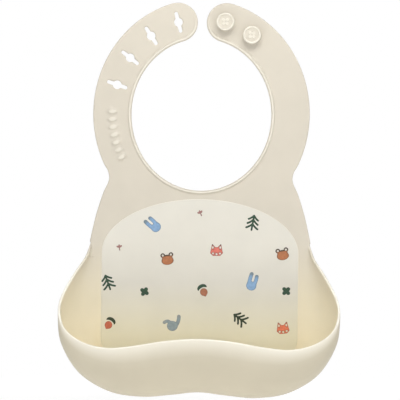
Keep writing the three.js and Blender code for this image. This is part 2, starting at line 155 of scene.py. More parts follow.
LIP_ROWS, LIP_STRENGTH = ROUND_STEPS + 2.5, 1.6  # half width, in rows, and strength of the painted highlight on the lip
LIP_FADE = (-25.0, 14.0)  # the lip's painted highlight fades out between these heights
FLARE_FROM = 1.5  # above this height the pocket's wall bends with the chest

INLAY_LOW, INLAY_HIGH = box_mm("lower_inlay")
INLAY_THICKNESS = INLAY_HIGH[1] - INLAY_LOW[1]
INLAY_CORNER, INLAY_ARCH_Z = 20.0, 5.0
INLAY_RINGS = [(0.0, 0.0), (0.12, 0.6), (0.4, 0.92), (0.8, 1.0)]  # inset and share of the height
INK = 0.15
INK_ROUNDING = 0.25  # the ink's edge rises to full height over this width
INK_BORDER = 0.7  # width of the darker line along the ink's edge
INK_CELL = 0.16
INK_REACH = 7.8  # half the side of the square that a motif is drawn in


# ---------------------------------------------------------------- planar geometry

def smooth(t):
    t = np.clip(t, 0, 1)
    return t * t * (3 - 2 * t)


def arc(centre, radii, start, end, steps):
    angles = np.radians(np.linspace(start, end, steps + 1))
    return np.stack([centre[0] + radii[0] * np.cos(angles), centre[1] + radii[1] * np.sin(angles)], 1)


def spline(points, t):
    """Points on the uniform Catmull-Rom curve through points, at t in 0..1."""
    points = np.asarray(points, float)
    padded = np.concatenate([[2 * points[0] - points[1]], points, [2 * points[-1] - points[-2]]])
    place = np.clip(np.asarray(t, float), 0, 1) * (len(points) - 1)
    left = np.minimum(place.astype(int), len(points) - 2)
    f = (place - left)[:, None]
    a, b, c, d = (padded[left + offset] for offset in range(4))
    bend = 2 * a - 5 * b + 4 * c - d
    return 0.5 * (2 * b + (c - a) * f + bend * f**2 + (3 * b - a - 3 * c + d) * f**3)


def resampled(points, spacing):
    """A line with its points spread evenly, in an even number of steps."""
    lengths = np.concatenate([[0], np.cumsum(np.linalg.norm(np.diff(points, axis=0), axis=1))])
    count = int(round(lengths[-1] / spacing / 2)) * 2
    at = np.linspace(0, lengths[-1], count + 1)
    return np.stack([np.interp(at, lengths, points[:, axis]) for axis in range(2)], 1)


def relaxed(points, rounds):
    """An open line with its corners eased; the ends stay."""
    points = points.copy()
    for _ in range(rounds):
        points[1:-1] += 0.5 * (0.5 * (points[:-2] + points[2:]) - points[1:-1])
    return points


def left_normals(points, closed=False):
    if closed:
        step = np.roll(points, -1, 0) - np.roll(points, 1, 0)
    else:
        step = np.gradient(points, axis=0)
    step /= np.linalg.norm(step, axis=1)[:, None]
    return np.stack([-step[:, 1], step[:, 0]], 1)


def inside(points, polygon):
    """Which points lie inside a closed polygon, by the even-odd rule."""
    found = np.zeros(len(points), bool)
    x, z = points[:, 0], points[:, 1]
    for (x1, z1), (x2, z2) in zip(polygon, np.roll(polygon, -1, 0)):
        if z1 == z2:
            continue
        crosses = (z1 > z) != (z2 > z)
        found ^= crosses & (x < (x2 - x1) * (z - z1) / (z2 - z1) + x1)
    return found


def distance_to(points, others):
    """The distance from each point to the nearest of the others."""
    nearest = np.full(len(points), np.inf)
    for start in range(0, len(others), 400):
        gaps = points[:, None] - others[None, start:start + 400]
        nearest = np.minimum(nearest, np.sqrt((gaps**2).sum(2)).min(1))
    return nearest


def hex_grid(low, high, spacing):
    rows = []
    for index, z in enumerate(np.arange(low[1], high[1], spacing * 0.866)):
        xs = np.arange(low[0] + (index % 2) * spacing / 2, high[0], spacing)
        rows.append(np.stack([xs, np.full(len(xs), z)], 1))
    return np.concatenate(rows)


def direction(degrees):
    return np.array([math.cos(math.radians(degrees)), math.sin(math.radians(degrees))])


def strap_middle(degrees, offset=0.0):
    """The point half way across the strap at an angle about its centre, moved out by an offset."""
    cos, sin = direction(degrees)
    half_width = (NECK["width"] + COLLAR["width"]) / 2
    half_height = (NECK["height"] + COLLAR["height"]) / 2
    radius = 1 / math.hypot(cos / half_width, sin / half_height) + offset
    return np.array([radius * cos, STRAP_CENTRE + radius * sin])


class Plane:
    """A planar mesh in (x, z). Its points carry a front and a back height, the strength of a painted
    highlight (on ink, the share of its second tone) and how deep they lie inside the outline (1 well
    inside)."""

    def __init__(self):
        self.points, self.faces = [], []
        self.front, self.back, self.lit, self.depth = [], [], [], []

    def add(self, points, front, back, lit=0.0, depth=1.0):
        first = len(self.points)
        self.points.extend(np.asarray(points, float))
        lists = (self.front, self.back, self.lit, self.depth)
        for kept, given in zip(lists, (front, back, lit, depth)):
            kept.extend(np.broadcast_to(given, len(points)))
        return np.arange(first, first + len(points))

    def strip(self, one, other, closed=False):
        """Quads between two rows of points; one lies to the right of other."""
        count = len(one) if closed else len(one) - 1
        for i in range(count):
            j = (i + 1) % len(one)
            self.faces.append((one[i], one[j], other[j], other[i]))

    def fill(self, loops, lines, holes, grid, clear, heights):
        """Triangles inside the first loop and outside the holes, through all loops and lines."""
        points = np.array(self.points)
        edges = [pair for loop in loops for pair in zip(loop, np.roll(loop, -1))]
        edges += [pair for line in lines for pair in zip(line, line[1:])]
        used = sorted({v for pair in edges for v in pair})
        outer, gaps = points[loops[0]], [points[hole] for hole in holes]
        keep = inside(grid, outer) & (distance_to(grid, points[used]) > clear)
        for gap in gaps:
            keep &= ~inside(grid, gap)
        ids = np.concatenate([used, self.add(grid[keep], *heights)])
        place = {v: i for i, v in enumerate(ids)}
        flat = [Vector(self.points[v]) for v in ids]
        made = delaunay_2d_cdt(flat, [(place[a], place[b]) for a, b in edges], [], 0, 1e-5)
        where = np.array([v[:] for v in made[0]])
        origin = [ids[sources[0]] for sources in made[3]]
        triangles = np.array(made[2])
        middle = where[triangles].mean(1)
        wanted = inside(middle, outer)
        for gap in gaps:
            wanted &= ~inside(middle, gap)
        for a, b, c in triangles[wanted]:
            (x1, z1), (x2, z2) = where[b] - where[a], where[c] - where[a]
            turn = x1 * z2 - z1 * x2
            if abs(turn) > SLIVER:
                ring = (a, b, c) if turn > 0 else (a, c, b)
                self.faces.append(tuple(origin[v] for v in ring))


# ---------------------------------------------------------------- meshes

def make_mesh(name, vertices, faces, caps=(), **values):
    """A smooth-shaded piece in metres, whose caps have sharp edges. It keeps its rest places and
    the other values given for its points as attributes."""
    vertices = np.asarray(vertices, float)
    mesh = bpy.data.meshes.new(name)
    mesh.from_pydata((vertices * MM).tolist(), [], [list(map(int, face)) for face in faces])
    mesh.polygons.foreach_set("use_smooth", [True] * len(mesh.polygons))
    caps = set(caps)
    beside = {}
    for index, polygon in enumerate(mesh.polygons):
        for key in polygon.edge_keys:
            beside.setdefault(key, set()).add(index in caps)
    sharp = mesh.attributes.new("sharp_edge", "BOOLEAN", "EDGE")
    sharp.data.foreach_set("value", [len(beside[edge.key]) > 1 for edge in mesh.edges])
    rest = mesh.attributes.new("rest_place", "FLOAT_VECTOR", "POINT")
    rest.data.foreach_set("vector", (vertices * MM).ravel())
    for key, value in values.items():
        extra = mesh.attributes.new(key, "FLOAT", "POINT")
        extra.data.foreach_set("value", np.asarray(value, float))
    piece = bpy.data.objects.new(name, mesh)
    bpy.context.scene.collection.objects.link(piece)
    return piece


def solid_from(plane, faces, name, base, lit_name="lit"):
    """The closed mesh between the front and back heights of some of a plane's faces."""
    vertices, lit, depth, inner, front, back = [], [], [], [], {}, {}
    for v in sorted({v for face in faces for v in face}):
        x, z = plane.points[v]
        front[v] = back[v] = len(vertices)
        vertices.append((x, base - plane.front[v], z))
        if plane.front[v] + plane.back[v] > 0:
            back[v] = len(vertices)
            vertices.append((x, base + plane.back[v], z))
        made = len(vertices) - front[v]
        # the front surface takes the painted glow inside the pocket
        inner += [1.0, 0.0][:made]
        # the painted highlight (on ink, its second tone) goes on the front only
        lit += [plane.lit[v], 0.0][:made]
        depth += [plane.depth[v]] * made
    rings = [[front[v] for v in face] for face in faces]
    rings += [[back[v] for v in reversed(face)] for face in faces]
    directed = {(a, b) for face in faces for a, b in zip(face, face[1:] + face[:1])}
    caps = []
    for a, b in sorted(directed):
        ring = list(dict.fromkeys([front[b], front[a], back[a], back[b]]))
        if (b, a) not in directed and len(ring) > 2:
            caps.append(len(rings))
            rings.append(ring)
    return make_mesh(name, vertices, rings, caps, inner=inner, depth=depth, **{lit_name: lit})


# ---------------------------------------------------------------- the sheet

def edge_chain():
    """The sheet's free edge from the right shoulder, round the collar and neck, to the left."""
    second = (CHEST_HALF_WIDTH - FLANK_START[0], SHOULDER_TOP + FLANK_START[1])
    flank = [(CHEST_HALF_WIDTH, SHOULDER_TOP), second, *FLANK]
    tip = (TIP["radius"], TIP["radius"])
    right = np.concatenate([
        spline(flank, np.linspace(0, 1, 120))[:-1],
        arc((0, COLLAR["z"]), (COLLAR["width"], COLLAR["height"]), *COLLAR_ARC, 160),
        arc((TIP["x"], TIP["z"]), tip, *TIP_ARC, 60),
        arc((0, NECK["z"]), (NECK["width"], NECK["height"]), *NECK_ARC, 200),
    ])
    half = resampled(relaxed(resampled(right, EDGE_STEP / 2), 6), EDGE_STEP)
    return np.concatenate([half, half[-2::-1] * (-1, 1)])


def bead_weights(chain):
    """1 along the neck opening, fading to 0 round the strap tips and 0 on the outer edge."""
    middle = len(chain) // 2
    tips = [int(np.argmax(chain[:middle, 1])), middle + int(np.argmax(chain[middle:, 1]))]
    index = np.arange(len(chain))
    beyond = np.minimum(index - tips[0], tips[1] - index)
    return smooth((beyond - BEAD_FADE[0]) / (BEAD_FADE[1] - BEAD_FADE[0]))


def edge_heights(inset, bead):
    """Front and back heights at an inset from the edge: a round edge, with the bead in front."""
    plain = HALF * math.sqrt(max(0.0, 1 - max(0.0, 1 - inset / HALF) ** 2))
    half = BEAD_WIDTH / 2
    bulge = math.sqrt(max(0.0, 1 - min(1.0, abs(inset - half) / half) ** 2))
    raised = (HALF + BEAD_HEIGHT) * bulge if inset < half else HALF + BEAD_HEIGHT * bulge
    return plain + bead * (raised - plain), plain


def round_insets():
    return HALF * (1 - np.sin(np.radians(np.linspace(90, 0, ROUND_STEPS + 1))))


def crease_point(along):
    """Where the pocket joins the back wall, at a length from the bottom centre."""
    half_width, bottom = PANEL_HIGH[0], PANEL_LOW[2]
    flat = half_width - PANEL_CORNER
    reach = PANEL_CORNER + CREASE_OUTSIDE
    swing = min(max((abs(along) - flat) / PANEL_CORNER, 0), math.pi / 2)
    rise = max(abs(along) - flat - PANEL_CORNER * math.pi / 2, 0)
    x = min(abs(along), flat) + reach * math.sin(swing)
    z = min(bottom + PANEL_CORNER - reach * math.cos(swing) + rise, SHOULDER_TOP)
    top_rise = SHOULDER_TOP - bottom - PANEL_CORNER
    widening = CHEST_HALF_WIDTH - HALF - half_width - CREASE_OUTSIDE
    x += widening * float(smooth((rise / top_rise - 0.7) / 0.3))
    return np.array([math.copysign(x, along), 0.0, z])


def rib_rows():
    """Crease, belly and rim points of evenly spread ribs from the left shoulder to the right."""
    flip = np.array([-1.0, 1.0, 1.0])
    right = [(along, np.array(belly, float), np.array(rim, float)) for along, belly, rim in RIBS]
    ribs = [(-along, belly * flip, rim * flip) for along, belly, rim in right[:0:-1]] + right
    t = np.linspace(0, 1, POCKET_AROUND + 1)
    along, belly, rim = (spline([np.atleast_1d(rib[item]) for rib in ribs], t) for item in range(3))
    crease = np.array([crease_point(length) for length in along[:, 0]])
    return crease, belly, rim


def slot_loop(degrees, inset):
    """The slot's edge moved into the strap by an inset: a radial slit with a round eye."""
    turn = np.linspace(0, 2 * math.pi, 73)[:-1]
    cos, sin = np.abs(np.cos(turn)), np.abs(np.sin(turn))
    width = SLOT["width"] / 2 + inset
    reach = (SLOT["length"] - SLOT["width"]) / 2
    side = width / np.maximum(sin, 1e-9)
    end = reach * cos + np.sqrt(np.maximum(width**2 - (reach * sin) ** 2, 0))
    slit = np.where(side * cos <= reach, side, end)
    eye = SLOT["eye"] + inset
    radius = (slit**SLOT_BLEND + eye**SLOT_BLEND) ** (1 / SLOT_BLEND)
    along, across = direction(degrees), direction(degrees + 90)
    offsets = radius * np.cos(turn), radius * np.sin(turn)
    middle = strap_middle(degrees, SLOT_OFFSET)
    return middle + offsets[0][:, None] * along + offsets[1][:, None] * across


def leaf_loop(degrees, scale):
    """A leaf lying across the strap: pointed at both ends."""
    turn = np.linspace(0, 2 * math.pi, 29)[:-1]
    along = scale * LEAF["length"] * np.cos(turn)
    across = scale * LEAF["width"] * np.sin(turn) * np.abs(np.sin(turn)) ** LEAF_POINT
    offsets = along[:, None] * direction(degrees) + across[:, None] * direction(degrees + 90)
    return strap_middle(degrees) + offsets


class Sheet:
    """The whole flat sheet as one plane, with the lines where its pieces part."""

    def __init__(self, crease):
        self.plane = Plane()
        self.cut_edges = set()
        self.chain = edge_chain()
        self.loops = self.edge_loops()
        border = self.border(crease)
        slots = [self.slot(degrees) for degrees in SLOT_ANGLES]
        leaves = [ring for degrees in LEAF_ANGLES for ring in self.leaf(degrees)]
        grid = hex_grid((-90.0, -90.0), (90.0, 200.0), GRID)
        self.plane.fill([border, *slots, *leaves], self.cuts(), slots, grid, GRID * 0.55, (HALF, HALF))

    def edge_loops(self):
        inward = left_normals(self.chain)
        bead = bead_weights(self.chain)
        loops = []
        for inset in [*round_insets(), *BEAD_INSETS]:
            front, back = zip(*(edge_heights(inset, weight) for weight in bead))
            # painted highlight along the crest of the neck bead
            crest = max(0.0, 0.6 - abs(inset - BEAD_WIDTH / 2)) * bead
            loops.append(self.plane.add(self.chain + inward * inset, front, back, crest))
        for outer, inner in zip(loops, loops[1:]):
            self.plane.strip(outer, inner)
        return loops

    def border(self, crease):
        """The innermost loop closed along the crease, which runs from the left shoulder down."""
        left = [loop[-1] for loop in self.loops[ROUND_STEPS:-1]]
        right = [loop[0] for loop in self.loops[ROUND_STEPS:-1]]
        middle = self.plane.add(crease[1:-1][:, [0, 2]], HALF, HALF)
        return np.array([*self.loops[-1], *left[::-1], *middle, *right])

    def slot(self, degrees):
        rows = []
        for inset in [*round_insets(), HALF + 0.5]:
            height = edge_heights(inset, 0)[1]
            rows.append(self.plane.add(slot_loop(degrees, inset), height, height))
        for inner, outer in zip(rows, rows[1:]):
            self.plane.strip(outer, inner, closed=True)
        return rows[-1]

    def leaf(self, degrees):
        # the leaves' raised tops get a painted highlight
        return [
            self.plane.add(leaf_loop(degrees, scale), HALF + rise, HALF, LEAF_HIGHLIGHT * rise)
            for scale, rise in LEAF_RINGS
        ]

    def nearest(self, point, low, high):
        return low + int(np.argmin(np.linalg.norm(self.chain[low:high] - point, axis=1)))

    def mark_cut(self, row):
        self.cut_edges |= {frozenset(pair) for pair in zip(row, row[1:])}

    def line(self, first, last):
        a, b = self.plane.points[first], self.plane.points[last]
        count = 2 * max(1, round(np.linalg.norm(b - a) / GRID / 2))
        steps = np.linspace(0, 1, count + 1)[1:-1, None]
        row = np.array([first, *self.plane.add(a + (b - a) * steps, HALF, HALF), last])
        self.mark_cut(row)
        return row

    def cut(self, start, end):
        """A line across the sheet between two places on its edge, through all the edge loops."""
        for place in (start, end):
            self.mark_cut([loop[place] for loop in self.loops])
        return self.line(self.loops[-1][start], self.loops[-1][end])

    def cuts(self):
        last, middle = len(self.chain) - 1, len(self.chain) // 2
        tip = int(np.argmax(self.chain[:middle, 1]))
        chest = self.nearest(np.array([COLLAR["width"], YOKE_CUT]), 0, tip)
        across = self.cut(chest, last - chest)
        self.mark_cut([loop[middle] for loop in self.loops])
        rows = [across, self.line(self.loops[-1][middle], across[len(across) // 2])]
        for degrees in STRAP_CUTS:
            point = strap_middle(180 - degrees)
            outer = self.nearest(point, 0, tip)
            inner = self.nearest(point, tip, middle)
            rows.append(self.cut(outer, inner))
            rows.append(self.cut(last - outer, last - inner))
        return rows

    def parts(self, seeds):
        """The faces on the same side of every cut as each seed point."""
        faces, sides = self.plane.faces, {}
        for index, face in enumerate(faces):
            for pair in zip(face, face[1:] + face[:1]):
                if frozenset(pair) not in self.cut_edges:
                    sides.setdefault(frozenset(pair), []).append(index)
        neighbours = [[] for _ in faces]
        for pair in sides.values():
            if len(pair) == 2:
                neighbours[pair[0]].append(pair[1])
                neighbours[pair[1]].append(pair[0])
        points = np.array(self.plane.points)
        middles = np.array([points[list(face)].mean(0) for face in faces])
        found = {}
        for name, seed in seeds.items():
            queue = [int(np.argmin(np.linalg.norm(middles - seed, axis=1)))]
            reached = set(queue)
            while queue:
                fresh = set(neighbours[queue.pop()]) - reached
                reached |= fresh
                queue.extend(fresh)
            found[name] = [faces[index] for index in sorted(reached)]
        return found


def metres(x, y, z):
    return Vector((x, y, z)) * MM


def fold_across_chest(piece):
    """Bakes the piece's placement into its mesh."""
    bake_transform(piece)


def bend_at(piece, reach):
    """Bakes the piece's placement into its mesh; reach is not used."""
    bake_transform(piece)


def sheet_pieces(crease, material):
    sheet = Sheet(crease)
    seeds = {"lower": (0, -40)}
    for side, sign in (("left", -1), ("right", 1)):
        seeds[f"{side}_shoulder"] = (sign * 65, 56)
        for part, degrees in (("strap", 10), ("tip", 48)):
            x, z = strap_middle(degrees)
            seeds[f"{side}_{part}"] = (sign * x, z)
    for name, faces in sheet.parts(seeds).items():
        piece = solid_from(sheet.plane, faces, f"{name}_sheet", -HALF)
        finish_piece(piece, material)
        if name == "lower":
            fold_across_chest(piece)
            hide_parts("lower_panel", "fold_web", "chest_yoke")
        else:
            part = name.split("_")[1]
            bend_at(piece, BEND_REACH[part])
            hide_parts(name)


# ---------------------------------------------------------------- the pocket

def shell_rows(crease, belly, rim):
    """Rows of points round the pocket's wall: up its outside, over the lip and down its inside."""
    first = crease + CREASE_FULLNESS * (belly - crease) * (1, 0, 1)
    second = (8 * belly - crease - 3 * first - rim) / 3
    v = np.linspace(0, 1, POCKET_ACROSS + 1)[:, None, None]
    outside = (1 - v) ** 3 * crease + 3 * v * (1 - v) ** 2 * first + 3 * v**2 * (1 - v) * second + v**3 * rim
    slope = (1 - v) ** 2 * (first - crease) + 2 * v * (1 - v) * (second - first) + v**2 * (rim - second)
    normal = np.cross(np.gradient(outside, axis=1), slope)
    normal /= np.maximum(np.linalg.norm(normal, axis=2), 1e-9)[:, :, None]
    back = np.array([0.0, 1.0, 0.0])
    normal[0] = back
    normal[:, [0, -1]] = back
    depth = SHEET + (RIM_THICKNESS - SHEET) * v
    inside_wall = outside - normal * depth
    beyond = slope[-1] / np.linalg.norm(slope[-1], axis=1)[:, None]
    beyond[[0, -1]] = [(-1, 0, 0), (1, 0, 0)]
    middle, radius = (outside[-1] + inside_wall[-1]) / 2, RIM_THICKNESS / 2
    lip = [
        middle + radius * (math.cos(angle) * normal[-1] + math.sin(angle) * beyond)
        for angle in np.linspace(0, math.pi, 2 * ROUND_STEPS + 1)[1:-1]
    ]
    return np.concatenate([outside, lip, inside_wall[::-1]])


def wall_piece(name, rows):
    """A closed band of wall between two of its ribs, with flat caps at the crease and both ends."""
    count, columns = rows.shape[:2]
    index = np.arange(count * columns).reshape(count, columns)
    faces = [
        (index[i, j], index[i, j + 1], index[i + 1, j + 1], index[i + 1, j])
        for i in range(count - 1) for j in range(columns - 1)
    ]
    caps = range(len(faces), len(faces) + 2 * columns)
    outer = POCKET_ACROSS
    for j in range(columns - 1):
        faces.append((index[0, j + 1], index[0, j], index[-1, j], index[-1, j + 1]))
    for column, order in ((0, 1), (columns - 1, -1)):
        for i in range(outer):
            ring = [index[i, column], index[i + 1, column], index[-2 - i, column], index[-1 - i, column]]
            faces.append(ring[::order])
        faces.append(list(index[outer:-outer, column])[::order])
    # painted highlight along the rim's lip, fading out towards the shoulders
    lip_share = np.clip(1 - np.abs(np.arange(count) - (count - 1) / 2) / LIP_ROWS, 0, 1)
    lip_height = rows[outer, :, 2]
    low_down = smooth((LIP_FADE[1] - lip_height) / (LIP_FADE[1] - LIP_FADE[0]))
    lit = smooth(lip_share * LIP_STRENGTH)[:, None] * low_down
    # the inside of the wall, which the material paints with its glow
    inner = np.repeat(smooth((np.arange(count) - outer) / (2 * ROUND_STEPS))[:, None], columns, 1)
    return make_mesh(name, rows.reshape(-1, 3), faces, caps, lit=lit.ravel(), inner=inner.ravel())


def pocket_pieces(crease, belly, rim, material):
    """The scoop between the shoulders, and the flare above it on each side."""
    rows = shell_rows(crease, belly, rim)
    low = int(np.argmax(crease[:, 2] < FLARE_FROM))
    high = rows.shape[1] - 1 - low
    pocket = wall_piece("pocket_shell", rows[:, low:high + 1])
    finish_piece(pocket, material)
    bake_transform(pocket)
    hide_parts("catch_pocket")
    for side, part in (("left", rows[:, :low + 1]), ("right", rows[:, high:])):
        flare = wall_piece(f"{side}_flare", part)
        finish_piece(flare, material)
        fold_across_chest(flare)


# ---------------------------------------------------------------- inlay

def inlay_outline():
    half_width, bottom = INLAY_HIGH[0], INLAY_LOW[2]
    corner = (INLAY_CORNER, INLAY_CORNER)
    corner_x, corner_z = half_width - INLAY_CORNER, bottom + INLAY_CORNER
    arch_height = box_mm("upper_inlay")[1][2] - INLAY_ARCH_Z
    whole = np.concatenate([
        arc((corner_x, corner_z), corner, -90, 0, 24),
        arc((0, INLAY_ARCH_Z), (half_width, arch_height), 0, 180, 140),
        arc((-corner_x, corner_z), corner, 180, 270, 24),
        [(corner_x, bottom)],
    ])
    return resampled(whole, EDGE_STEP)[:-1]


def inlay_piece(material):
    plane = Plane()
    edge = inlay_outline()
    inward = left_normals(edge, closed=True)
    # the inlay's rounded edge gets a painted highlight, fading as its height grows
    rows = [
        plane.add(edge + inward * inset, share * INLAY_THICKNESS, 0.0, 1 - share)
        for inset, share in INLAY_RINGS
    ]
    for outer, inner in zip(rows, rows[1:]):
        plane.strip(outer, inner, closed=True)
    grid = hex_grid(edge.min(0), edge.max(0), GRID)
    plane.fill([rows[-1]], [], [], grid, GRID * 0.5, (INLAY_THICKNESS, 0.0))
    inlay = solid_from(plane, plane.faces, "printed_inlay", -SHEET)
    finish_piece(inlay, material)
    fold_across_chest(inlay)
    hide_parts("lower_inlay", "upper_inlay")


# ---------------------------------------------------------------- printed motifs
# Each motif is a field over its own square: below zero inside the ink, in millimetres. Its
# second value, 0 to 1, says where the ink takes its second tone.

def oval(x, z, at, radii, tilt=0.0):
    cos, sin = direction(tilt)
    u = ((x - at[0]) * cos + (z - at[1]) * sin) / radii[0]
    v = ((z - at[1]) * cos - (x - at[0]) * sin) / radii[1]
    return (np.hypot(u, v) - 1) * min(radii)


def stroke(x, z, points, width, steps=10):
    """The field of a line with round ends, straight or bowed through three control points."""
    t = np.linspace(0, 1, steps + 1)[:, None]
    controls = np.asarray(points, float)
    if len(controls) == 3:
        path = (1 - t) ** 2 * controls[0] + 2 * t * (1 - t) * controls[1] + t**2 * controls[2]
    else:
        path = controls
    nearest = np.full(x.shape, np.inf)
    for (x1, z1), (x2, z2) in zip(path, path[1:]):
        dx, dz = x2 - x1, z2 - z1
        share = np.clip(((x - x1) * dx + (z - z1) * dz) / (dx * dx + dz * dz), 0, 1)
        nearest = np.minimum(nearest, np.hypot(x - x1 - share * dx, z - z1 - share * dz))
    return nearest - width / 2


def facets(x, z, corners, rounding):
    """The field of a polygon with its corners rounded outwards."""
    nearest = np.full(x.shape, np.inf)
    within = np.zeros(x.shape, bool)
    for (x1, z1), (x2, z2) in zip(corners, corners[1:] + corners[:1]):
        nearest = np.minimum(nearest, stroke(x, z, [(x1, z1), (x2, z2)], 0))
        if z1 != z2:
            within ^= ((z1 > z) != (z2 > z)) & (x < (x2 - x1) * (z - z1) / (z2 - z1) + x1)
    return np.where(within, -nearest, nearest) - rounding


def melted(fields, radius=0.8):
    """The union of fields, with the corners between them filled in softly."""
    whole = fields[0]
    for other in fields[1:]:
        near = np.clip(0.5 + 0.5 * (other - whole) / radius, 0, 1)
        whole = other + (whole - other) * near - radius * near * (1 - near)
    return whole


def cut_out(field, holes):
    for hole in holes:
        field = np.maximum(field, -hole)
    return field


def rabbit(x, z):
    ears = [
        stroke(x, z, [(-2.0, -2.4), (-2.4, 2), (-1.9, 5.6)], 3.0),
        stroke(x, z, [(2.0, -2.4), (2.7, 1.6), (2.4, 4.6)], 2.9),
    ]
    return melted([oval(x, z, (0, -3.4), (3.9, 3.5)), *ears]), smooth((z - 3.2) / 2.4)


def rabbit_with_bent_ear(x, z):
    ears = [
        stroke(x, z, [(2.4, -2.4), (4.8, 1.4), (4.2, 5.4)], 2.8),
        stroke(x, z, [(-1.6, -0.6), (-3.4, 2.2), (-6.4, -0.4)], 2.5),
    ]
    shade = np.maximum(smooth((z - 3.4) / 2), smooth((-4.6 - x) / 1.6))
    return melted([oval(x, z, (0, -2.4), (4.1, 3.9)), *ears]), shade


def tree(x, z):
    parts = [stroke(x, z, [(0, -5.9), (0, 4.6)], 1.4)]
    for top, reach, low in ((5.3, 3.7, 2.1), (2.2, 4.0, -1.2), (-1.2, 4.4, -4.6)):
        bow = top - (top - low) * 0.66
        parts.append(stroke(np.abs(x), z, [(0, top), (reach * 0.45, bow), (reach, low)], 1.45))
    return melted(parts, 0.3), np.zeros(x.shape)


def bear(x, z):
    head = melted([oval(x, z, (0, -1.5), (4.7, 3.2)), oval(x, z, (0, 0.5), (3.7, 2.7))], 1.0)
    ears = oval(np.abs(x), z, (3.2, 2.9), (1.8, 1.8))
    hollow = oval(np.abs(x), z, (3.15, 2.95), (0.8, 0.8))
    return cut_out(melted([head, ears], 0.5), [hollow]), smooth((z - 1.6) / 0.9)


def fox(x, z):
    half = [(1.1, 1.9), (3.2, 4.2), (3.9, 0.4), (4.5, -2.1), (2.6, -3.9)]
    corners = half[::-1] + [(-corner_x, corner_z) for corner_x, corner_z in half]
    ears = oval(np.abs(x), z, (2.85, 2.1), (0.6, 0.95))
    cheeks = oval(np.abs(x), z, (2.7, -2.5), (0.8, 0.7))
    muzzle = oval(x, z, (0, -3.0), (0.8, 0.75))
    return cut_out(facets(x, z, corners, 0.45), [ears, cheeks, muzzle]), smooth((z - 3.2) / 0.8)


def clover(x, z):
    lobes = [
        oval(x, z, 2.0 * direction(angle), (1.7, 1.5), angle) for angle in (45, 135, 225, 315)
    ]
    return melted([*lobes, oval(x, z, (0, 0), (1.0, 1.0))], 0.15), np.zeros(x.shape)


def acorn_nut(x, z):
    nut = melted([oval(x, z, (0, -1.6), (2.9, 3.0)), oval(x, z, (0, -4.2), (0.9, 1))], 0.6)
    return nut, np.zeros(x.shape)


def acorn_cap(x, z):
    cap = cut_out(oval(x, z, (0, 2.0), (3.8, 2.8)), [oval(x, z, (0, -0.6), (4.0, 2.8))])
    return cap, np.zeros(x.shape)


def blossom(x, z):
    petals = []
    for lean in (-50, 0, 50):
        cos, sin = direction(90 + lean)
        petals.append(oval(x, z, (1.5 * cos, 1.5 * sin - 0.4), (1.1, 0.7), 90 + lean))
    stem = stroke(x, z, [(0, -2.2), (0, 0.2)], 0.8)
    return melted([*petals, stem], 0.2), smooth((-z - 0.4) / 0.8)


MOTIFS = [  # CAD node, field and counter-clockwise tilt as seen from the front
    ("print_rabbit_upper", rabbit, 51, "ink_blue"),
    ("print_blossom_upper", blossom, 24, "ink_pink"),
    ("print_tree_upper", tree, -10, "ink_green"),
    ("print_blossom_lower", blossom, 8, "ink_pink"),
    ("print_bear_left", bear, 8, "ink_brown"),
    ("print_fox_upper", fox, 0, "ink_coral"),
    ("print_bear_right", bear, 11, "ink_brown"),
    ("print_tree_left", tree, 20, "ink_green"),
    ("print_clover_left", clover, 12, "ink_green"),
    ("print_acorn_nut_middle", acorn_nut, 24, "ink_nut"),
    ("print_acorn_cap_middle", acorn_cap, 24, "ink_green"),
    ("print_rabbit_middle", rabbit, -14, "ink_blue"),
    ("print_clover_right", clover, 0, "ink_green"),
    ("print_acorn_nut_left", acorn_nut, -32, "ink_red_nut"),
    ("print_acorn_cap_left", acorn_cap, -32, "ink_deep_green"),
    ("print_rabbit_lower", rabbit_with_bent_ear, -6, "ink_grey_blue"),
    ("print_tree_lower", tree, 54, "ink_deep_green"),
    ("print_fox_lower", fox, 6, "ink_orange"),
]


def ink_plane(field_of):
    """The inked part of a motif's square, cell by cell, with its border where the field is zero."""
    ticks = np.arange(-INK_REACH, INK_REACH + INK_CELL, INK_CELL)
    x, z = np.meshgrid(ticks, ticks, indexing="ij")
    field, shade = field_of(x, z)
    nudge = 0.02 * INK_CELL
    field = np.where(np.abs(field) < nudge, np.where(field < 0, -nudge, nudge), field)
    plane, corner_ids, crossing_ids = Plane(), {}, {}

    def corner(i, j):
        if (i, j) not in corner_ids:
            rise = INK * math.sqrt(min(1.0, -field[i, j] / INK_ROUNDING))
            depth = min(1.0, -field[i, j] / INK_BORDER)
            corner_ids[i, j] = plane.add([(x[i, j], z[i, j])], rise, 0.0, shade[i, j], depth)[0]
        return corner_ids[i, j]

    def crossing(one, other):
        key = frozenset((one, other))
        if key not in crossing_ids:
            share = field[one] / (field[one] - field[other])
            point = [ticks[a] + (ticks[b] - ticks[a]) * share for a, b in zip(one, other)]
            tone = shade[one] + (shade[other] - shade[one]) * share
            crossing_ids[key] = plane.add([point], 0.0, 0.0, tone, 0.0)[0]
        return crossing_ids[key]

    touched = field < 0
    cells = touched[:-1, :-1] | touched[1:, :-1] | touched[:-1, 1:] | touched[1:, 1:]
    for i, j in np.argwhere(cells):
        ring, around = [], [(i, j), (i + 1, j), (i + 1, j + 1), (i, j + 1)]
        for one, other in zip(around, around[1:] + around[:1]):
            if field[one] < 0:
                ring.append(corner(*one))
            if (field[one] < 0) != (field[other] < 0):
                ring.append(crossing(one, other))
        plane.faces.append(tuple(ring))
    return plane


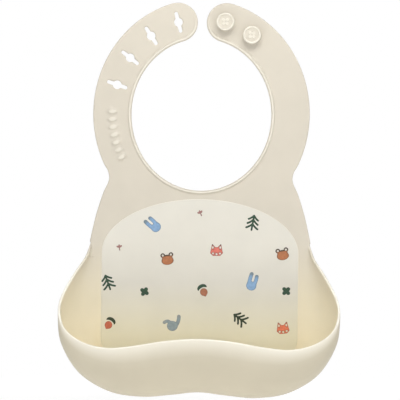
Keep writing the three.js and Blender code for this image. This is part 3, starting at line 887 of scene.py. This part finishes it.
def print_piece(node, field_of, tilt, slot):
    """A motif's layer of ink, with its middle where the CAD layer has its own."""
    plane = ink_plane(field_of)
    cos, sin = direction(tilt)
    turned = np.array(plane.points) @ np.array([(cos, sin), (-sin, cos)])
    low, high = box_mm(node)
    middle = (low + high)[[0, 2]] / 2
    plane.points = list(turned - (turned.min(0) + turned.max(0)) / 2 + middle)
    ink = solid_from(plane, plane.faces, f"{node}_layer", -SHEET - INLAY_THICKNESS, "tone")
    finish_piece(ink, ink_material(slot))
    heights = [point[1] for point in plane.points]
    if min(heights) < FOLD_ZONE[1] and max(heights) > FOLD_ZONE[0]:
        fold_across_chest(ink)
    else:
        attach(ink, "yoke" if min(heights) > FOLD_ZONE[0] else "chest_panel")
    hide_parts(node)


# ---------------------------------------------------------------- studs

STUD_PROFILE = [  # radius and height above the strap, from the base to the middle of the recess
    (5.3, -0.1), (4.65, 0.2), (4.2, 0.7), (4.0, 1.4), (4.0, 2.2), (4.4, 2.6), (5.3, 2.75),
    (6.3, 2.9), (6.85, 3.25), (7.03, 3.9), (6.95, 4.6), (6.7, 5.05), (6.3, 5.33), (5.95, 5.38),
    (5.62, 5.25), (5.42, 4.95), (5.3, 4.72), (5.0, 4.62), (4.4, 4.6), (3.6, 4.6), (0.4, 4.6),
]
STUD_TURNS = 96
RECESS_RADIUS, RECESS_STEP, RECESS_MIDDLE = 3.6, 0.15, 0.2  # the recess floor gets close rings
RIM_HIGHLIGHT_FROM, RIM_HIGHLIGHT_OVER = 4.4, 0.8  # the stud is painted paler from this height upwards: a painted highlight on its rim
EMBLEM = {"middle": 0.9, "petal": 2.6, "height": 0.42, "edge": 0.4}
PETAL_FULLNESS = 0.7


def emblem_rise(radius, angle):
    """The height of a four-petal flower on the recess floor."""
    reach = EMBLEM["middle"] + EMBLEM["petal"] * abs(math.sin(2 * angle)) ** PETAL_FULLNESS
    vein = 0.3 * float(smooth((0.35 - abs(radius * math.sin(2 * angle + math.pi / 2) / 2)) / 0.3))
    rise = float(smooth((reach - radius) / EMBLEM["edge"]))
    hollow = float(smooth((1.0 - radius) / 0.3))
    return EMBLEM["height"] * (rise * (1 - vein) - 0.5 * hollow)


def stud_piece(node, material):
    low, high = box_mm(node)
    x0, z0 = (low + high)[[0, 2]] / 2
    profile = spline(STUD_PROFILE, np.linspace(0, 1, 80))
    recess = [(radius, height) for radius, height in profile if radius > 3.7 or height < 4]
    recess_radii = np.arange(RECESS_RADIUS, RECESS_MIDDLE, -RECESS_STEP)
    recess += [(radius, STUD_PROFILE[-1][1]) for radius in recess_radii]
    angles = np.linspace(0, 2 * math.pi, STUD_TURNS + 1)[:-1]
    vertices, lit = [], []
    for radius, height in recess:
        # painted highlight on the stud's rim and on the raised emblem
        ring = float(smooth((height - RIM_HIGHLIGHT_FROM) / RIM_HIGHLIGHT_OVER))
        for angle in angles:
            rise = emblem_rise(radius, angle) if radius < 4 and height > 4 else 0.0
            place = x0 + radius * math.cos(angle), -SHEET - height - rise, z0 + radius * math.sin(angle)
            vertices.append(place)
            lit.append(0.5 * max(ring, rise / EMBLEM["height"]))
    index = np.arange(len(vertices)).reshape(len(recess), STUD_TURNS)
    faces = []
    for one, other in zip(index, index[1:]):
        for j in range(STUD_TURNS):
            k = (j + 1) % STUD_TURNS
            faces.append((one[j], one[k], other[k], other[j]))
    faces.append(list(index[-1]))
    faces.append(list(index[0])[::-1])
    stud = make_mesh(f"{node}_body", vertices, faces, [len(faces) - 1], lit=lit)
    finish_piece(stud, material)
    bend_at(stud, BEND_REACH["tip"])
    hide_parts(node)


# ---------------------------------------------------------------- materials

class Nodes:
    """A material's node tree, built up call by call."""

    def __init__(self, name):
        self.material = bpy.data.materials.new(name)
        self.material.use_nodes = True
        self.tree = self.material.node_tree
        self.shader = self.tree.nodes["Principled BSDF"]
        self.place = self.attribute("rest_place", "Vector")

    def new(self, kind):
        return self.tree.nodes.new("ShaderNode" + kind)

    def put(self, name, value):
        """Sets or wires one input of the surface shader."""
        self.wire(value, self.shader.inputs[name])

    def wire(self, value, socket):
        if isinstance(value, bpy.types.NodeSocket):
            self.tree.links.new(value, socket)
        else:
            socket.default_value = value

    def attribute(self, name, output):
        node = self.new("Attribute")
        node.attribute_name = name
        return node.outputs[output]

    def noise(self, size, detail=2.0, roughness=0.5):
        """Noise from 0 to 1 whose blotches are about this many millimetres across."""
        node = self.new("TexNoise")
        node.inputs["Scale"].default_value = 1 / (size * MM)
        node.inputs["Detail"].default_value = detail
        node.inputs["Roughness"].default_value = roughness
        self.wire(self.place, node.inputs["Vector"])
        return node.outputs["Fac"]

    def span(self, value, low, high, to_low=0.0, to_high=1.0):
        node = self.new("MapRange")
        for key, entry in zip(("Value", "From Min", "From Max", "To Min", "To Max"),
                              (value, low, high, to_low, to_high)):
            self.wire(entry, node.inputs[key])
        return node.outputs["Result"]

    def mottled(self, size, detail, low=0.0, high=1.0, roughness=0.5):
        """Noise stretched so that most of it runs from low to high."""
        return self.span(self.noise(size, detail, roughness), *NOISE_MIDDLE, low, high)

    def maths(self, operation, one, other):
        node = self.new("Math")
        node.operation = operation
        self.wire(one, node.inputs[0])
        self.wire(other, node.inputs[1])
        return node.outputs[0]

    def mix(self, share, one, other, blend="MIX"):
        node = self.new("Mix")
        node.data_type, node.blend_type = "RGBA", blend
        for key, entry in zip(("Factor", "A", "B"), (share, one, other)):
            self.wire(entry, node.inputs[key])
        return node.outputs["Result"]

    def tinted(self, one, other):
        """A colour multiplied by another colour or by a number."""
        return self.mix(1.0, one, other, "MULTIPLY")

    def below(self, start, end):
        """0 above one height and 1 below another, in millimetres up the resting bib."""
        split = self.new("SeparateXYZ")
        self.wire(self.place, split.inputs["Vector"])
        return self.span(split.outputs["Z"], start * MM, end * MM)

    def bump(self, height, distance, strength, below=None):
        node = self.new("Bump")
        node.inputs["Distance"].default_value = distance * MM
        node.inputs["Strength"].default_value = strength
        self.wire(height, node.inputs["Height"])
        if below is not None:
            self.wire(below, node.inputs["Normal"])
        return node.outputs["Normal"]


def colour(rgb, scale=1.0):
    return (*(channel * scale for channel in rgb), 1.0)


CLOUDS = {"size": 26, "range": (0.975, 1.02)}  # faint, wide changes of tone; sizes in mm
SPECKS = {"size": 1.1, "shade": 0.99}
SATIN = {"size": 9, "range": (0.44, 0.54)}  # roughness
WAVES = {"size": 14, "height": 0.2, "strength": 0.1}
GRAIN = {"size": 1.2, "height": 0.012, "strength": 0.15}
SILICONE_IOR = 1.41
SILICONE_SHEEN = {"weight": 0.08, "roughness": 0.5}
NOISE_MIDDLE = (0.3, 0.7)  # most of a noise texture's values lie between these


def silicone(name, high, low, glow_tint, glow_heights):
    """Satin moulded silicone: faint clouding, a fine moulded grain, a painted highlight on lips and
    raised parts, painted shade down the pocket and, inside the pocket, a brighter, warmer painted
    glow for the light that has gone through its wall."""
    nodes = Nodes(name)
    # painted shade: darker from the chest down the pocket
    base = nodes.mix(nodes.below(*PAINTED_SHADE_HEIGHTS), colour(high, ALBEDO), colour(low, ALBEDO))
    clouds = nodes.mottled(CLOUDS["size"], 3, *CLOUDS["range"])
    specks = nodes.span(nodes.noise(SPECKS["size"], 2, 0.6), 0.62, 0.8, 1.0, SPECKS["shade"])
    tint = nodes.tinted(base, nodes.maths("MULTIPLY", clouds, specks))
    # painted glow: the inside surfaces are brightened and warmed lower down the pocket
    inner = nodes.maths("MULTIPLY", nodes.attribute("inner", "Fac"), nodes.below(*glow_heights))
    glowing = nodes.tinted(tint, colour(glow_tint))
    tint = nodes.mix(inner, tint, glowing)
    # painted highlight on lips and raised parts
    tint = nodes.mix(nodes.attribute("lit", "Fac"), tint, colour(LIP_HIGHLIGHT))
    nodes.put("Base Color", tint)
    grain = nodes.noise(GRAIN["size"], 2, 0.5)
    nodes.put("Roughness", nodes.mottled(SATIN["size"], 3, *SATIN["range"]))
    waves = nodes.bump(nodes.noise(WAVES["size"], 1), WAVES["height"], WAVES["strength"])
    surface = nodes.bump(grain, GRAIN["height"], GRAIN["strength"], waves)
    nodes.put("Normal", surface)
    nodes.put("IOR", SILICONE_IOR)
    nodes.put("Sheen Weight", SILICONE_SHEEN["weight"])
    nodes.put("Sheen Roughness", SILICONE_SHEEN["roughness"])
    return nodes.material


POCKET_PAINTED_GLOW = (1.5, 1.5, 1.46)  # painted glow: how much brighter and warmer the inside of the pocket is painted than its outside
INLAY_PAINTED_GLOW = (1.22, 1.2, 1.04)
PAINTED_GLOW_HEIGHTS = (14.0, -60.0)  # the painted glow grows from none to full between these heights
INLAY_PAINTED_GLOW_HEIGHTS = (-18.0, -58.0)
INLAY_SHADE = 0.9  # painted shade: how much the inlay darkens down towards the painted glow
# colour of the painted highlight on lips, the neck bead, leaves, studs and the inlay's edge
LIP_HIGHLIGHT = (0.97, 0.93, 0.82)
ALBEDO = 0.9  # the record's colours are those seen under a full light
PAINTED_SHADE_HEIGHTS = (14.0, -30.0)  # painted shade: the body's colour darkens slightly from the chest down the pocket

INK_TONES = {  # the second tone of each ink, in linear light
    "ink_blue": (0.17, 0.23, 0.27),
    "ink_grey_blue": (0.3, 0.33, 0.33),
    "ink_brown": (0.075, 0.05, 0.03),
    "ink_coral": (0.09, 0.055, 0.04),
    "ink_orange": (0.25, 0.09, 0.045),
    "ink_pink": (0.25, 0.1, 0.085),
}


INK_WASH = {"size": 1.6, "dark": 0.86, "pale": 1.14}
INK_SATIN = {"size": 0.7, "range": (0.5, 0.66)}  # roughness
INK_GRAIN = {"size": 0.3, "height": 0.02, "strength": 0.5}
BORDER_SHARE, BORDER_SHADE = 0.55, 0.7  # how strongly and how dark the border line is drawn


def ink_material(slot):
    """Matte ink with an uneven, hand-painted tone and a darker line along its border."""
    name = f"{slot}_matte"
    if name in bpy.data.materials:
        return bpy.data.materials[name]
    nodes = Nodes(name)
    base = COLOURS[slot]
    wash = nodes.mottled(INK_WASH["size"], 3, roughness=0.6)
    tint = nodes.mix(wash, colour(base, INK_WASH["dark"]), colour(base, INK_WASH["pale"]))
    tone = INK_TONES.get(slot, tuple(0.7 * channel for channel in base))
    tint = nodes.mix(nodes.attribute("tone", "Fac"), tint, colour(tone))
    line = nodes.span(nodes.attribute("depth", "Fac"), 0.25, 1.0, BORDER_SHARE, 0.0)
    tint = nodes.mix(line, tint, colour(tone, BORDER_SHADE))
    nodes.put("Base Color", tint)
    nodes.put("Roughness", nodes.mottled(INK_SATIN["size"], 2, *INK_SATIN["range"]))
    grain = nodes.bump(nodes.noise(INK_GRAIN["size"], 2), INK_GRAIN["height"], INK_GRAIN["strength"])
    nodes.put("Normal", grain)
    return nodes.material


def finish_piece(piece, material):
    piece.data.materials.append(material)


# ---------------------------------------------------------------- stage, light and camera

STAGE_GAP = 30.0  # mm under the bib, so that no pose reaches the floor
FLOOR_HALF_SIDE = 6000.0
FLOOR_NEAR, FLOOR_FAR = 130.0, 420.0  # the floor fades into white between these distances
FLOOR_GLOW = 0.3  # the floor lights the bib softly from below


def pale_floor(height):
    """A wide pale floor under the bib that fades into the white behind it."""
    half = FLOOR_HALF_SIDE
    corners = [(-half, -half), (half, -half), (half, half), (-half, half)]
    floor = make_mesh("floor", [(x, y, height) for x, y in corners], [(0, 1, 2, 3)])
    nodes = Nodes("floor_paper")
    split = nodes.new("SeparateXYZ")
    nodes.wire(nodes.place, split.inputs["Vector"])
    sides = [nodes.maths("ABSOLUTE", split.outputs[axis], 0.0) for axis in "XY"]
    squares = [nodes.maths("POWER", side, 2.0) for side in sides]
    distance = nodes.maths("POWER", nodes.maths("ADD", *squares), 0.5)
    away = nodes.span(distance, FLOOR_NEAR * MM, FLOOR_FAR * MM)
    paper = nodes.mix(nodes.noise(40, 3), colour((0.87, 0.87, 0.87)), colour((0.9, 0.9, 0.9)))
    seen = nodes.new("LightPath").outputs["Is Camera Ray"]
    faded = nodes.maths("MULTIPLY", seen, away)
    nodes.put("Base Color", nodes.mix(faded, paper, colour((0, 0, 0))))
    nodes.put("Specular IOR Level", nodes.span(away, 0.0, 1.0, 0.5, 0.0))
    nodes.put("Roughness", 1.0)
    nodes.put("Emission Color", colour((1, 1, 1)))
    glow = nodes.span(faded, 0.0, 1.0, FLOOR_GLOW, 1.0)
    nodes.put("Emission Strength", glow)
    floor.data.materials.append(nodes.material)


def area_light(name, place, aim, size, power):
    light = bpy.data.lights.new(name, "AREA")
    light.shape = "RECTANGLE"
    light.size, light.size_y = (side * MM for side in size)
    light.energy = power
    lamp = bpy.data.objects.new(name, light)
    lamp.location = metres(*place)
    lamp.rotation_euler = (metres(*aim) - lamp.location).to_track_quat("-Z", "Y").to_euler()
    bpy.context.scene.collection.objects.link(lamp)


WORLD_LIGHT = 0.36
LAMPS = [  # place, aim, size (mm) and power (W)
    ("overhead", (60, -420, 640), (0, 0, 120), (560, 300), 3.0),
    ("front", (0, -1300, -20), (0, 0, -40), (1200, 500), 3.2),
    ("left_side", (-1100, -850, 350), (0, 0, -20), (700, 1000), 1.5),
    ("right_side", (1100, -850, 350), (0, 0, -20), (700, 1000), 1.5),
    ("back", (0, 1300, 300), (0, 0, 40), (1200, 700), 7.0),
]


def studio():
    """A world that is white to the camera and lights softly, with area lights round the bib."""
    world = bpy.data.worlds.new("studio")
    world.use_nodes = True
    nodes = world.node_tree.nodes
    background = nodes["Background"]
    background.inputs["Color"].default_value = (1, 1, 1, 1)
    seen = nodes.new("ShaderNodeLightPath").outputs["Is Camera Ray"]
    strength = nodes.new("ShaderNodeMapRange")
    strength.inputs["To Min"].default_value = WORLD_LIGHT
    strength.inputs["To Max"].default_value = 1.0
    world.node_tree.links.new(seen, strength.inputs["Value"])
    world.node_tree.links.new(strength.outputs["Result"], background.inputs["Strength"])
    bpy.context.scene.world = world
    for lamp in LAMPS:
        area_light(*lamp)
    bpy.context.scene.view_settings.view_transform = "Standard"


VIEW = {"distance": 1250.0, "height": 309.4, "aim": (-0.4, 0.0, 46.4)}
VIEW_ANGLES = {"azimuth": 0.7, "elevation": 0.0, "roll": 0.6}


def camera():
    lens = bpy.data.cameras.new("camera")
    lens.angle = 2 * math.atan(VIEW["height"] / 2 / VIEW["distance"])
    lens.clip_start = 0.01
    viewer = bpy.data.objects.new("camera", lens)
    azimuth, elevation, roll = (math.radians(angle) for angle in VIEW_ANGLES.values())
    level = math.cos(elevation)
    away = Vector((math.sin(azimuth) * level, -math.cos(azimuth) * level, math.sin(elevation)))
    viewer.location = metres(*VIEW["aim"]) + away * VIEW["distance"] * MM
    upright = (-away).to_track_quat("-Z", "Y")
    viewer.rotation_euler = (upright @ Quaternion((0, 0, 1), roll)).to_euler()
    bpy.context.scene.collection.objects.link(viewer)
    bpy.context.scene.camera = viewer


# ---------------------------------------------------------------- assembly

def build():
    crease, belly, rim = rib_rows()
    body = COLOURS["sheet"], COLOURS["pocket"], POCKET_PAINTED_GLOW, PAINTED_GLOW_HEIGHTS
    sheet_silicone = silicone("sheet_silicone", *body)
    sheet_pieces(crease, sheet_silicone)
    pocket_pieces(crease, belly, rim, silicone("pocket_silicone", *body))
    shaded = [INLAY_SHADE * channel for channel in COLOURS["inlay"]]
    inlay = COLOURS["inlay"], shaded, INLAY_PAINTED_GLOW, INLAY_PAINTED_GLOW_HEIGHTS
    inlay_piece(silicone("inlay_silicone", *inlay))
    for motif in MOTIFS:
        print_piece(*motif)
    for node in ("upper_stud", "lower_stud"):
        stud_piece(node, sheet_silicone)
    pale_floor(cad_box[0][2] / MM - STAGE_GAP)
    studio()
    camera()


build()
